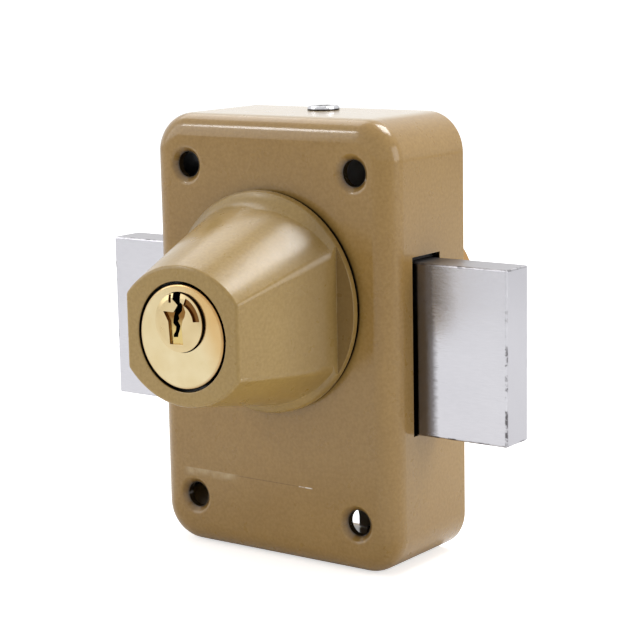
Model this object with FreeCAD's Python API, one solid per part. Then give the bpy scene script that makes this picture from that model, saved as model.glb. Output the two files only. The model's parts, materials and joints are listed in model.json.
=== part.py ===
import FreeCAD, Part
import math
import os

# Rim lock: a surface-mounted door lock with a through bolt, a turning knob that holds a
# round key cylinder, and a second round cylinder that runs back through the door.
# The origin is the centre of the outer cylinder on the door plane. +X is to the right seen
# from the room, +Y goes into the door and +Z is up, so the case stands on the -Y side.
# All sizes are in millimetres.

os.makedirs("parts", exist_ok=True)

# Case shell
case_width = 67.2
case_height = 102.2
case_depth = 29.5
case_wall = 1.6
case_corner_r = 9.2
case_edge_r = 5.0
fixing_spread_x = 46.6
fixing_spread_z = 78.8
fixing_hole_r = 3.0
dish_margin = 1.7
dish_lip_r = 1.0

# Back plate
plate_thickness = 2.0
plate_fit = 0.15
notch_half_width = 4.9
notch_height = 7.0
tab_width = 14.0
tab_length = 10.0
tab_corner_r = 3.0
tongue_spread = 28.0
tongue_width = 8.0
tongue_sheet = 1.6
tongue_reach = 4.0
cylinder_seat_depth = 0.5
cylinder_seat_step = 0.3

# Case screw
case_screw_back = 7.0
case_screw_head_r = 3.75
case_screw_head_height = 1.0
case_screw_r = 2.0
case_screw_length = 8.0
cross_reach = 2.1
cross_width = 0.8
cross_depth = 1.1

# Key cylinders: a round body with its plug set above the centre and standing a little proud
cylinder_r = 11.5
plug_offset = 3.25
plug_barrel_r = 6.25
plug_head_step = 0.2
plug_head_length = 1.0
plug_head_proud = 1.0
head_gap = 0.2
rim_slope_width = 0.95
rim_slope_drop = 0.25
face_cut_inner_r = 4.25
face_cut_outer_r = 5.95
face_cut_depth = 0.45
face_cut_start = 67
face_cut_end = 7
outer_cylinder_length = 40.0
pin_count = 5
first_pin = 4.3
last_pin = 2.1
pin_r = 1.3
key_pin_length = 4.6
key_pin_tip = 0.7
key_pin_lift = 0.8
driver_pin_length = 3.8
chamber_cover_margin = 0.6
chamber_cover_height = 1.0
pin_spring_wall = 0.4
keyway_depth = 19.0
guide_recess_depth = 0.55
side_groove_depth = 0.5
clip_floor_depth = 3.4
clip_width = 2.2
clip_grip = 0.6
neck_end_y = 0.6

# Drive spindle
spindle_flange_thickness = 2.6
tooth_count = 14
module = 1.0
pressure_angle = math.radians(20.0)
gear_addendum = 1.0
rack_addendum = 0.8
dedendum = 1.25
backlash = 0.3
boss_r = 4.5
boss_reach = 3.7
boss_slot_depth = 3.0

# Bolt
bolt_length = 111.4
bolt_height = 39.0
bolt_thickness = 9.0
bolt_back = 11.2
bolt_edge_r = 0.45
bolt_offset = 1.2
bolt_web = 4.2
bolt_pocket_corner_r = 1.5
bolt_top_rim = 1.65
pinion_clear = 0.4
slot_front_gap = 1.1
slot_top_gap = 1.2
slot_bottom_gap = 0.2

# Knob
knob_flange_r = 25.4
knob_flange_thickness = 1.75
knob_flange_edge_r = 0.35
knob_case_gap = 0.95
knob_length = 31.1
knob_root_flat_x = 20.9
knob_root_flat_half = 13.2
knob_root_arc_half = 23.5
knob_face_flat_x = 15.4
knob_face_flat_half = 8.15
knob_face_arc_half = 15.4
knob_flare = 4.4
knob_flare_hollow = 0.4
knob_flare_shoulder = 0.9
knob_flare_shoulder_inset = 0.6
knob_flare_bend = 0.25
knob_flare_bend_inset = 0.15
knob_flare_end = 0.4
knob_ridge_face_r = 1.4
knob_ridge_root_r = 3.4
knob_face_edge_r = 0.8
knob_mouth_gap = 0.6
knob_mouth_depth = 4.0
knob_mouth_edge_r = 0.25
bridge_wall = 2.0

# Locking of the knob from inside
ring_wall = 0.4
ring_width = 3.5
ring_thickness = 2.6
ring_pip_r = 1.5
cam_thickness = 2.0
cam_start_r = 7.6
cam_rim = 0.9
slider_travel = 2.4
slider_width = 6.0
slider_thickness = 2.2
slider_foot = 1.35
slider_nose_length = 3.2
slider_pin_r = 1.05
tail_r = 3.0
tail_flat = 2.2

# Bush, guides and detent
bush_wall = 2.0
bush_flange_width = 3.0
bush_flange_thickness = 1.6
bush_bolt_gap = 1.8
circlip_width = 1.2
circlip_thickness = 0.9
circlip_groove_depth = 0.75
circlip_gap_half = 3.2
guide_thickness = 4.6
guide_rim = 2.2
guide_chamfer = 1.0
guide_pip_spread = 23.4
detent_arm = 14.0
detent_toe = 5.5
detent_drop = 4.0
detent_depth = 0.7
detent_nose_r = 1.5
detent_leaf = 0.7
detent_leaf_width = 6.0
detent_post_width = 8.0
detent_post_height = 7.0
detent_post_gap = 1.1
detent_screw_r = 1.0

# Clutch of the outer cylinder
tail_bar_width = 6.0
tail_bar_thickness = 2.4
fork_bridge_y = 5.5
fork_bridge_length = 2.4
dog_length = 4.5
dog_clear = 1.2
dog_tongue_length = 2.3
dog_tongue_thickness = 3.0
rod_r = 1.0
collar_y = 12.0
collar_length = 1.0
collar_r = 1.9
rod_spring_wall = 0.6

# Small screws inside
spindle_screw_r = 1.25
spindle_screw_head_r = 2.15
spindle_screw_length = 5.5
inner_screw_r = 1.25
inner_screw_head_r = 2.4
inner_screw_head_height = 1.5
inner_screw_length = 6.0
outer_screw_r = 1.5
outer_screw_head_r = 2.7
outer_screw_head_height = 1.6
outer_screw_length = 10.0
cylinder_screw_inset = 2.75
cylinder_screw_turn = math.radians(51)
cam_screw_r = 1.0
cam_screw_head_height = 1.3
cam_screw_length = 3.6
driver_slot_half = 0.3

# Clearances
running = 0.05
sliding = 0.1
seat = 0.03
apart = 0.3
loose = 0.5

X_AXIS = FreeCAD.Vector(1, 0, 0)
Y_AXIS = FreeCAD.Vector(0, 1, 0)
Z_AXIS = FreeCAD.Vector(0, 0, 1)

# Planes and axes that several pieces share
spindle_z = plug_offset
pitch_r = module * tooth_count / 2
bolt_travel = math.pi * pitch_r
pinion_r = pitch_r + gear_addendum
journal_r = pinion_r
bolt_top_z = spindle_z + pinion_r + pinion_clear + bolt_top_rim
bolt_bottom_z = bolt_top_z - bolt_height
bolt_middle_z = (bolt_top_z + bolt_bottom_z) / 2
bolt_front_y = -bolt_back - bolt_thickness
bolt_middle_y = (bolt_front_y - bolt_back) / 2
bolt_left_x = bolt_offset - bolt_length / 2
bolt_right_x = bolt_offset + bolt_length / 2
web_front_y = -bolt_back - bolt_web
pinion_back_y = web_front_y - 2 * sliding
pinion_front_y = bolt_front_y + 2 * sliding
boss_end_y = -bolt_back + boss_reach
bush_r = journal_r + bush_wall
bush_back_y = bolt_front_y - bush_bolt_gap
circlip_front_y = bush_back_y + 2 * sliding

case_centre_z = bolt_middle_z
front_y = -case_depth
inside_front_y = front_y + case_wall
plate_front_y = -plate_thickness
inner_half_x = case_width / 2 - case_wall
inner_half_z = case_height / 2 - case_wall
case_top_z = case_centre_z + case_height / 2
case_bottom_z = case_centre_z - case_height / 2

# The dish round a fixing hole falls at 45 degrees from its rounded lip to the hole
dish_rim_r = fixing_hole_r + dish_margin
dish_lip_end_r = dish_rim_r - dish_lip_r * math.sin(math.radians(45))
dish_lip_depth = dish_lip_r * (1 - math.cos(math.radians(45)))
dish_floor_r = fixing_hole_r + running
dish_depth = dish_lip_depth + dish_lip_end_r - dish_floor_r

face_y = front_y - knob_length
knob_back_y = front_y - knob_case_gap
flange_front_y = knob_back_y - knob_flange_thickness
flange_back_y = front_y - apart
knob_seat_y = flange_back_y - spindle_flange_thickness
ring_r = knob_root_flat_x - ring_wall
ring_bore_r = ring_r - ring_width
spindle_flange_r = ring_bore_r - apart
slider_back_y = knob_seat_y - sliding
slider_front_y = slider_back_y - slider_thickness
slider_inner_end = cam_start_r - slider_pin_r - slider_foot
slider_outer_end = spindle_flange_r - 2 * sliding
cam_back_y = slider_front_y - apart
cam_front_y = cam_back_y - cam_thickness
cam_r = cam_start_r + slider_travel + slider_pin_r + cam_rim
cam_screw_head_r = slider_inner_end - 1.5
bridge_back_y = cam_front_y - inner_screw_head_height - loose
bridge_front_y = bridge_back_y - bridge_wall
inner_cylinder_length = bridge_front_y - face_y

pin_pitch = (inner_cylinder_length - first_pin - last_pin) / (pin_count - 1)
plug_bore_r = plug_barrel_r + running
plug_head_r = plug_barrel_r + plug_head_step
neck_r = plug_barrel_r - plug_head_step - 1.0
clip_r = neck_r + clip_width
chamber_r = pin_r + running
pin_spring_r = pin_r - 3 * running
chamber_cover_width = 2 * (pin_r + chamber_cover_margin)
driver_top = plug_barrel_r + running + seat
spring_top = driver_top + driver_pin_length
chamber_floor_z = -cylinder_r + chamber_cover_height

dog_r = boss_r - 2 * sliding
fork_end_y = fork_bridge_y + fork_bridge_length
dog_front_y = boss_end_y + 2 * sliding
dog_body_y = dog_front_y + dog_tongue_length
guide_inner_x = inner_half_x - apart - guide_thickness
detent_post_x = -(guide_inner_x - detent_post_gap - detent_post_width / 2)
detent_x = detent_post_x + detent_arm
detent_leaf_z = bolt_bottom_z - detent_drop
detent_nose_z = bolt_bottom_z + detent_depth - detent_nose_r - running


def point(x, y, z):
    return FreeCAD.Vector(x, y, z)


def box(x0, x1, y0, y1, z0, z1):
    return Part.makeBox(x1 - x0, y1 - y0, z1 - z0, point(x0, y0, z0))


def rod_along_y(radius, y0, y1, x=0.0, z=0.0):
    return Part.makeCylinder(radius, y1 - y0, point(x, y0, z), Y_AXIS)


def rod_along_z(radius, z0, z1, x=0.0, y=0.0):
    return Part.makeCylinder(radius, z1 - z0, point(x, y, z0), Z_AXIS)


def cone_along_y(radius0, radius1, y0, y1, x=0.0, z=0.0):
    return Part.makeCone(radius0, radius1, y1 - y0, point(x, y0, z), Y_AXIS)


def tube_along_y(radius, bore, y0, y1, x=0.0, z=0.0):
    return rod_along_y(radius, y0, y1, x, z).cut(rod_along_y(bore, y0, y1, x, z))


def joined(shapes):
    whole = shapes[0]
    for shape in shapes[1:]:
        whole = whole.fuse(shape)
    return whole.removeSplitter()


def cut_by(body, tools):
    for tool in tools:
        body = body.cut(tool)
    return body.removeSplitter()


def prism_along_y(outline, y0, y1):
    corners = [point(x, y0, z) for x, z in outline]
    wire = Part.makePolygon(corners + [corners[0]])
    return Part.Face(wire).extrude(point(0, y1 - y0, 0))


def edges_along(shape, axis):
    found = []
    for edge in shape.Edges:
        run = edge.Vertexes[-1].Point - edge.Vertexes[0].Point
        if run.Length > 0.01 and abs(abs(run.normalize().dot(axis)) - 1) < 1e-6:
            found.append(edge)
    return found


def edges_at_y(shape, y):
    return [edge for edge in shape.Edges if all(abs(v.Y - y) < 1e-6 for v in edge.Vertexes)]


def edges_at_top(shape, z):
    return [edge for edge in shape.Edges if all(abs(v.Z - z) < 1e-6 for v in edge.Vertexes)]


def rounded_plate(width, height, corner_r, y0, y1, centre_z):
    blank = box(-width / 2, width / 2, y0, y1, centre_z - height / 2, centre_z + height / 2)
    return blank.makeFillet(corner_r, edges_along(blank, Y_AXIS))


def round_the_spindle(angle_deg, radius):
    angle = math.radians(angle_deg)
    return radius * math.sin(angle), spindle_z + radius * math.cos(angle)


def save(shape, node):
    shape.exportStep("parts/" + node + ".step")


def drawn_shell(width, height, corner_r, edge_r, y0, y1):
    blank = rounded_plate(width, height, corner_r, y0, y1, case_centre_z)
    return blank.makeFillet(edge_r, edges_at_y(blank, y0))


def fixing_places():
    places = []
    for side in (-1, 1):
        for end in (-1, 1):
            places.append((side * fixing_spread_x / 2, case_centre_z + end * fixing_spread_z / 2))
    return places


def dish_tool(x, z):
    # A soft-lipped 45 degree dish with the screw hole at its floor
    half_turn = math.radians(22.5)
    middle_r = dish_rim_r - dish_lip_r * math.sin(half_turn)
    middle_depth = dish_lip_r * (1 - math.cos(half_turn))
    start = point(0, front_y - 1, 0)
    above = point(dish_rim_r, front_y - 1, 0)
    rim = point(dish_rim_r, front_y, 0)
    middle = point(middle_r, front_y + middle_depth, 0)
    lip = point(dish_lip_end_r, front_y + dish_lip_depth, 0)
    floor = point(dish_floor_r, front_y + dish_depth, 0)
    centre = point(0, front_y + dish_depth, 0)
    outline = Part.Wire([
        Part.makeLine(start, above),
        Part.makeLine(above, rim),
        Part.Arc(rim, middle, lip).toShape(),
        Part.makeLine(lip, floor),
        Part.makeLine(floor, centre),
        Part.makeLine(centre, start),
    ])
    dish = Part.Face(outline).revolve(point(0, 0, 0), Y_AXIS, 360)
    dish.translate(point(x, 0, z))
    return dish


def tongue_slots():
    slots = []
    hook_y = plate_front_y - tongue_reach
    for side in (-1, 1):
        x = side * tongue_spread / 2
        slots.append(box(x - tongue_width / 2 - plate_fit, x + tongue_width / 2 + plate_fit,
                         hook_y - plate_fit, hook_y + tongue_sheet + plate_fit,
                         case_bottom_z - plate_fit, case_bottom_z + case_wall + plate_fit))
    return slots


def ring_pip_places():
    return [round_the_spindle(angle, (ring_r + ring_bore_r) / 2) for angle in (45, 135, 225, 315)]


def case():
    outer = drawn_shell(case_width, case_height, case_corner_r, case_edge_r, front_y, 0)
    hollow = drawn_shell(2 * inner_half_x, 2 * inner_half_z, case_corner_r - case_wall,
                         case_edge_r - case_wall, inside_front_y, 1)
    shell = outer.cut(hollow)
    backing = [cone_along_y(dish_rim_r + case_wall / 2, fixing_hole_r + case_wall, inside_front_y - loose,
                            front_y + dish_depth + case_wall, x, z) for x, z in fixing_places()]
    shell = joined([shell] + backing)
    tools = [dish_tool(x, z) for x, z in fixing_places()]
    tools += [rod_along_y(fixing_hole_r, front_y, inside_front_y + 5, x, z) for x, z in fixing_places()]
    tools.append(rod_along_y(bush_r + seat, front_y - 1, inside_front_y + 1, 0, spindle_z))
    tools += [rod_along_y(ring_pip_r + seat, front_y - 1, inside_front_y + 1, x, z)
              for x, z in ring_pip_places()]
    tools.append(box(-case_width, case_width, bolt_front_y - slot_front_gap, -bolt_back + slot_front_gap,
                     bolt_bottom_z - slot_bottom_gap, bolt_top_z + slot_top_gap))
    tools.append(rod_along_z(case_screw_r + plate_fit, case_top_z - 2 * case_wall, case_top_z + 1,
                             0, -case_screw_back))
    return cut_by(shell, tools + tongue_slots())


def cylinder_screw_places():
    radius = cylinder_r - cylinder_screw_inset
    x = radius * math.sin(cylinder_screw_turn)
    return [(side * x, -radius * math.cos(cylinder_screw_turn)) for side in (-1, 1)]


def guide_pip_places():
    x = guide_inner_x + guide_thickness / 2
    return [(side * x, bolt_middle_z + end * guide_pip_spread / 2) for side in (-1, 1) for end in (-1, 1)]


def back_plate():
    half_x = inner_half_x - plate_fit
    half_z = inner_half_z - plate_fit
    plate = rounded_plate(2 * half_x, 2 * half_z, case_corner_r - case_wall, plate_front_y, 0,
                          case_centre_z)
    top_z = case_centre_z + half_z
    bottom_z = case_centre_z - half_z
    tab = box(-tab_width / 2, tab_width / 2, plate_front_y - tab_length, plate_front_y,
              top_z - plate_thickness, top_z)
    tab_corners = [e for e in edges_along(tab, Z_AXIS) if e.Vertexes[0].Y < plate_front_y - 1]
    tab = tab.makeFillet(tab_corner_r, tab_corners)
    pieces = [plate, tab]
    hook_y = plate_front_y - tongue_reach
    for side in (-1, 1):
        x = side * tongue_spread / 2
        pieces.append(box(x - tongue_width / 2, x + tongue_width / 2, hook_y, plate_front_y,
                          bottom_z, bottom_z + tongue_sheet))
        pieces.append(box(x - tongue_width / 2, x + tongue_width / 2, hook_y, hook_y + tongue_sheet,
                          case_bottom_z + sliding, bottom_z + sliding))
    plate = joined(pieces)
    notch_z = bottom_z + notch_height - notch_half_width
    tools = [rod_along_y(fixing_hole_r, plate_front_y - 1, 1, x, z) for x, z in fixing_places()]
    tools.append(rod_along_y(dog_r + dog_clear, plate_front_y - 1, 1, 0, spindle_z))
    tools.append(rod_along_y(cylinder_r + seat, -cylinder_seat_depth, 1))
    tools += [rod_along_y(outer_screw_r + 2 * sliding, plate_front_y - 1, 1, x, z)
              for x, z in cylinder_screw_places()]
    tools += [rod_along_y(ring_pip_r + seat, plate_front_y - 1, 1, x, z) for x, z in guide_pip_places()]
    tools.append(rod_along_y(ring_pip_r + seat, plate_front_y - 1, 1, detent_post_x,
                             detent_leaf_z - detent_post_height / 2))
    tools.append(box(-notch_half_width, notch_half_width, plate_front_y - 1, 1, bottom_z - 1, notch_z))
    tools.append(rod_along_y(notch_half_width, plate_front_y - 1, 1, 0, notch_z))
    tools.append(rod_along_z(case_screw_r + seat, top_z - 5, top_z + 1, 0, -case_screw_back))
    return cut_by(plate, tools)


def case_screw():
    # Pan head: a low dome on a straight rim, with a cross recess
    top_z = case_top_z + case_screw_head_height
    head = rod_along_z(case_screw_head_r, case_top_z, top_z)
    head = head.makeFillet(case_screw_head_height * 0.65, edges_at_top(head, top_z))
    floor_z = top_z - cross_depth
    for reach, half in ((cross_reach, cross_width / 2), (cross_width / 2, cross_reach)):
        head = head.cut(box(-reach, reach, -half, half, floor_z, top_z + 1))
    shank = rod_along_z(case_screw_r, case_top_z - case_screw_length, case_top_z + sliding)
    screw = joined([head, shank])
    screw.translate(point(0, -case_screw_back, 0))
    return screw


def knob_bush():
    spigot = rod_along_y(bush_r, front_y, bush_back_y, 0, spindle_z)
    flange = rod_along_y(bush_r + bush_flange_width, inside_front_y, inside_front_y + bush_flange_thickness,
                         0, spindle_z)
    bore = rod_along_y(journal_r + running, front_y - 1, bush_back_y + 1, 0, spindle_z)
    return cut_by(joined([spigot, flange]), [bore])


def lock_ring():
    ring_front_y = front_y - ring_thickness
    ring = tube_along_y(ring_r, ring_bore_r, ring_front_y, front_y, 0, spindle_z)
    reach = slider_outer_end + slider_travel + apart
    half = slider_width / 2 + 2 * sliding
    notch = box(-half, half, ring_front_y - 1, front_y + 1, spindle_z - reach, spindle_z + reach)
    side = box(-reach, reach, ring_front_y - 1, front_y + 1, spindle_z - half, spindle_z + half)
    ring = cut_by(ring, [notch, side])
    pips = [rod_along_y(ring_pip_r, front_y - sliding, inside_front_y + apart, x, z)
            for x, z in ring_pip_places()]
    return joined([ring] + pips)


def bolt_guide(side):
    outer_x = guide_inner_x + guide_thickness
    x0 = min(side * outer_x, side * guide_inner_x)
    x1 = max(side * outer_x, side * guide_inner_x)
    block = box(x0, x1, bolt_front_y - guide_rim, plate_front_y,
                bolt_bottom_z - guide_rim, bolt_top_z + guide_rim)
    block = block.makeChamfer(guide_chamfer, edges_along(block, X_AXIS))
    window = box(x0 - 1, x1 + 1, bolt_front_y - sliding, -bolt_back + sliding,
                 bolt_bottom_z - sliding, bolt_top_z + sliding)
    pips = [rod_along_y(ring_pip_r, plate_front_y - sliding, -sliding, x, z)
            for x, z in guide_pip_places() if x * side > 0]
    return joined([block.cut(window)] + pips)


def detent_post():
    foot_z = detent_leaf_z - detent_post_height
    post = box(detent_post_x - detent_post_width / 2, detent_post_x + detent_post_width / 2,
               bolt_middle_y - detent_leaf_width / 2, plate_front_y, foot_z, detent_leaf_z)
    post = post.makeChamfer(guide_chamfer, edges_along(post, Y_AXIS))
    pip = rod_along_y(ring_pip_r, plate_front_y - sliding, -sliding, detent_post_x,
                      (foot_z + detent_leaf_z) / 2)
    hole = rod_along_z(detent_screw_r + seat, detent_leaf_z - 5 * detent_screw_r, detent_leaf_z + 1,
                       detent_post_x, bolt_middle_y)
    return joined([post, pip]).cut(hole)


def detent_spring():
    # A flat leaf that runs along under the bolt, with a round nose bent up into the notch
    foot = detent_leaf_z + detent_leaf
    y0 = bolt_middle_y - detent_leaf_width / 2
    y1 = bolt_middle_y + detent_leaf_width / 2
    inside_r = detent_nose_r - detent_leaf
    leaf = box(detent_post_x - detent_post_width / 2, detent_x + detent_toe, y0, y1, detent_leaf_z, foot)
    nose = rod_along_y(detent_nose_r, y0, y1, detent_x, detent_nose_z)
    neck = box(detent_x - detent_nose_r, detent_x + detent_nose_r, y0, y1, detent_leaf_z, detent_nose_z)
    inside = rod_along_y(inside_r, y0 - 1, y1 + 1, detent_x, detent_nose_z)
    throat = box(detent_x - inside_r, detent_x + inside_r, y0 - 1, y1 + 1, detent_leaf_z - 1,
                 detent_nose_z)
    hole = rod_along_z(detent_screw_r + seat, detent_leaf_z - 1, foot + 1, detent_post_x, bolt_middle_y)
    return cut_by(joined([leaf, nose, neck]), [inside, throat, hole])


def detent_screw():
    seat_z = detent_leaf_z + detent_leaf
    height = 1.1 * detent_screw_r
    head = rod_along_z(1.9 * detent_screw_r, seat_z, seat_z + height, detent_post_x, bolt_middle_y)
    head = head.makeFillet(height / 2, edges_at_top(head, seat_z + height))
    slot = box(detent_post_x - 3, detent_post_x + 3, bolt_middle_y - driver_slot_half,
               bolt_middle_y + driver_slot_half, seat_z + height / 2, seat_z + 2)
    shank = rod_along_z(detent_screw_r, seat_z - 5 * detent_screw_r, seat_z + sliding, detent_post_x,
                        bolt_middle_y)
    return joined([head.cut(slot), shank])


def bolt():
    bar = box(bolt_left_x, bolt_right_x, bolt_front_y, -bolt_back, bolt_bottom_z, bolt_top_z)
    bar = bar.makeFillet(bolt_edge_r, bar.Edges)
    clear = pinion_r + pinion_clear
    rack_pitch_z = spindle_z - pitch_r
    root_z = rack_pitch_z - dedendum
    pocket = box(-clear, bolt_travel + clear, bolt_front_y - 1, web_front_y, root_z, spindle_z + clear)
    upper_corners = [e for e in edges_along(pocket, Y_AXIS) if e.Vertexes[0].Z > 0]
    pocket = pocket.makeFillet(bolt_pocket_corner_r, upper_corners)
    boss_gap = boss_r + apart
    boss_slot = box(0, bolt_travel, web_front_y - 1, -bolt_back + 1,
                    spindle_z - boss_gap, spindle_z + boss_gap)
    slot_ends = [rod_along_y(boss_gap, web_front_y - 1, -bolt_back + 1, x, spindle_z)
                 for x in (0, bolt_travel)]
    notches = [rod_along_y(detent_nose_r + sliding, bolt_front_y - 1, 0, x, detent_nose_z)
               for x in (detent_x, detent_x + bolt_travel)]
    bar = cut_by(bar, [pocket, joined([boss_slot] + slot_ends)] + notches)
    return joined([bar, rack_teeth(rack_pitch_z, root_z, clear)])


def rack_teeth(pitch_z, root_z, clear):
    # Straight-sided teeth; a gap stands under the spindle, so that the first teeth lie half a
    # pitch to each side of it
    pitch = math.pi * module
    slope = math.tan(pressure_angle)
    half = pitch / 4 - backlash / 2
    tip = half - rack_addendum * slope
    root = half + (dedendum + sliding) * slope
    last = int((bolt_travel + clear - root) / pitch - 0.5)
    first = -int((clear - root) / pitch + 0.5)
    teeth = []
    for index in range(first, last + 1):
        x = (index + 0.5) * pitch
        outline = [(x - root, root_z - sliding), (x + root, root_z - sliding),
                   (x + tip, pitch_z + rack_addendum), (x - tip, pitch_z + rack_addendum)]
        teeth.append(prism_along_y(outline, bolt_front_y + bolt_edge_r, web_front_y + sliding))
    return joined(teeth)


def involute_flank(base_r, tip_r, steps):
    flank = []
    for step in range(steps + 1):
        radius = base_r + (tip_r - base_r) * step / steps
        roll = math.sqrt((radius / base_r) ** 2 - 1)
        flank.append((radius, roll - math.atan(roll)))
    return flank


def pinion_outline():
    base_r = pitch_r * math.cos(pressure_angle)
    root_r = pitch_r - dedendum
    roll = math.tan(pressure_angle) - pressure_angle
    half = math.pi / (2 * tooth_count) - backlash / (2 * pitch_r)
    flank = involute_flank(base_r, pinion_r, 4)
    outline = []
    for tooth in range(tooth_count):
        centre = 2 * math.pi * tooth / tooth_count
        side = [(root_r, centre - half - roll)]
        side += [(radius, centre - half - roll + turn) for radius, turn in flank]
        side += [(radius, centre + half + roll - turn) for radius, turn in reversed(flank)]
        side.append((root_r, centre + half + roll))
        outline += [(r * math.sin(a), spindle_z + r * math.cos(a)) for r, a in side]
    return outline


def spindle_screw_places():
    radius = spindle_flange_r - spindle_screw_head_r - 3 * running
    return [round_the_spindle(angle, radius) for angle in (60, 180, 300)]


def drive_spindle():
    flange = rod_along_y(spindle_flange_r, knob_seat_y, flange_back_y, 0, spindle_z)
    journal = rod_along_y(journal_r, flange_back_y - sliding, pinion_front_y, 0, spindle_z)
    pinion = prism_along_y(pinion_outline(), pinion_front_y - sliding, pinion_back_y)
    boss = rod_along_y(boss_r, pinion_back_y - sliding, boss_end_y, 0, spindle_z)
    spindle = joined([flange, journal, pinion, boss])
    half = slider_width / 2 + sliding
    nose_start = slider_outer_end - slider_nose_length - apart
    slot_half = dog_tongue_thickness / 2 + 3 * running
    tools = [
        box(-half, half, knob_seat_y - 1, flange_back_y + 1, spindle_z + nose_start,
            spindle_z + spindle_flange_r + 1),
        tube_along_y(journal_r + 2, journal_r - circlip_groove_depth, circlip_front_y - sliding,
                     circlip_front_y + circlip_thickness + sliding, 0, spindle_z),
        box(-slot_half, slot_half, boss_end_y - boss_slot_depth, boss_end_y + 1,
            spindle_z - boss_r - 1, spindle_z + boss_r + 1),
    ]
    sink = spindle_screw_head_r - spindle_screw_r
    for x, z in spindle_screw_places():
        tools.append(rod_along_y(spindle_screw_r + seat, knob_seat_y - 1, flange_back_y + 1, x, z))
        tools.append(cone_along_y(spindle_screw_r + seat, spindle_screw_head_r + 2 * seat,
                                  flange_back_y - sink - seat, flange_back_y, x, z))
    return cut_by(spindle, tools)


def spindle_screws():
    sink = spindle_screw_head_r - spindle_screw_r
    head_y = flange_back_y - sink - seat
    end_y = flange_back_y - seat
    screws = []
    for x, z in spindle_screw_places():
        head = cone_along_y(spindle_screw_r, spindle_screw_head_r, head_y, end_y, x, z)
        shank = rod_along_y(spindle_screw_r, knob_seat_y - spindle_screw_length, head_y + running, x, z)
        slot = box(x - 3, x + 3, end_y - sink / 2, end_y + 1, z - driver_slot_half, z + driver_slot_half)
        screws.append(joined([head, shank]).cut(slot))
    return Part.makeCompound(screws)


def bush_circlip():
    back_y = circlip_front_y + circlip_thickness
    bore = journal_r - circlip_groove_depth + running
    clip = tube_along_y(journal_r + circlip_width, bore, circlip_front_y, back_y, 0, spindle_z)
    gap = circlip_gap_half
    return clip.cut(box(-gap, gap, circlip_front_y - 1, back_y + 1, spindle_z - 2 * journal_r, spindle_z))


def grip_outline(y, flat_x, flat_half, arc_half, centre_z):
    # Two straight flats joined by a round top and a round bottom
    low_right = point(flat_x, y, centre_z - flat_half)
    high_right = point(flat_x, y, centre_z + flat_half)
    high_left = point(-flat_x, y, centre_z + flat_half)
    low_left = point(-flat_x, y, centre_z - flat_half)
    top = point(0, y, centre_z + arc_half)
    bottom = point(0, y, centre_z - arc_half)
    return Part.Wire([
        Part.makeLine(low_right, high_right),
        Part.Arc(high_right, top, high_left).toShape(),
        Part.makeLine(high_left, low_left),
        Part.Arc(low_left, bottom, low_right).toShape(),
    ])


def knob_grip():
    # Tapers from the flange to a smaller face that sits round the cylinder's own centre
    root = grip_outline(flange_front_y, knob_root_flat_x, knob_root_flat_half, knob_root_arc_half, spindle_z)
    face = grip_outline(face_y, knob_face_flat_x, knob_face_flat_half, knob_face_arc_half, 0)
    grip = Part.makeLoft([face, root], True, True)
    ridges = []
    for edge in grip.Edges:
        ends = [v.Y for v in edge.Vertexes]
        if max(ends) - min(ends) > knob_length / 2:
            ridges.append(edge)
    # The ridges get rounder towards the flange
    radii = [knob_ridge_face_r, knob_ridge_root_r]
    if ridges[0].Vertexes[0].Y > ridges[0].Vertexes[1].Y:
        radii.reverse()
    grip = grip.makeFillet(radii[0], radii[1], ridges)
    return grip.makeFillet(knob_face_edge_r, edges_at_y(grip, face_y))


def knob_flare_ring():
    # The round sides of the grip sweep out over the flange's edge, and the two flats cut through it
    near_y = flange_front_y - knob_flare
    share = knob_flare / (flange_front_y - face_y)
    taper = share * (knob_root_arc_half - knob_face_arc_half + spindle_z)
    start = point(knob_root_arc_half - taper, near_y, 0)
    shoulder = point(knob_flange_r - knob_flare_shoulder_inset, flange_front_y - knob_flare_shoulder, 0)
    bend = point(knob_flange_r - knob_flare_bend_inset, flange_front_y - knob_flare_bend, 0)
    end = point(knob_flange_r, flange_front_y + knob_flare_end, 0)
    chord = (shoulder - start).normalize()
    hollow = (start + shoulder) * 0.5 + point(-chord.y, chord.x, 0) * knob_flare_hollow
    inner_start = point(start.x - loose, near_y, 0)
    axis_start = point(0, near_y, 0)
    axis_end = point(0, end.y, 0)
    section = Part.Face(Part.Wire([
        Part.makeLine(axis_start, inner_start),
        Part.makeLine(inner_start, start),
        Part.Arc(start, hollow, shoulder).toShape(),
        Part.Arc(shoulder, bend, end).toShape(),
        Part.makeLine(end, axis_end),
        Part.makeLine(axis_end, axis_start),
    ]))
    ring = section.revolve(point(0, 0, 0), Y_AXIS, 360)
    ring.translate(point(0, 0, spindle_z))
    near_flat_x = knob_root_flat_x - share * (knob_root_flat_x - knob_face_flat_x)
    beyond = knob_flange_r + 1
    for side in (-1, 1):
        beside_flat = [
            (side * near_flat_x, spindle_z - beyond, near_y),
            (side * knob_root_flat_x, spindle_z - beyond, flange_front_y),
            (side * beyond, spindle_z - beyond, flange_front_y),
            (side * beyond, spindle_z - beyond, near_y),
        ]
        corners = [point(x, y, z) for x, z, y in beside_flat]
        block = Part.Face(Part.makePolygon(corners + [corners[0]])).extrude(point(0, 0, 2 * beyond))
        ring = ring.cut(block)
    return ring


def knob_blank():
    flange = rod_along_y(knob_flange_r, flange_front_y, knob_back_y, 0, spindle_z)
    flange = flange.makeFillet(knob_flange_edge_r, edges_at_y(flange, flange_front_y))
    flange = flange.makeFillet(loose, edges_at_y(flange, knob_back_y))
    return joined([knob_grip(), knob_flare_ring(), flange])


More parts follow.
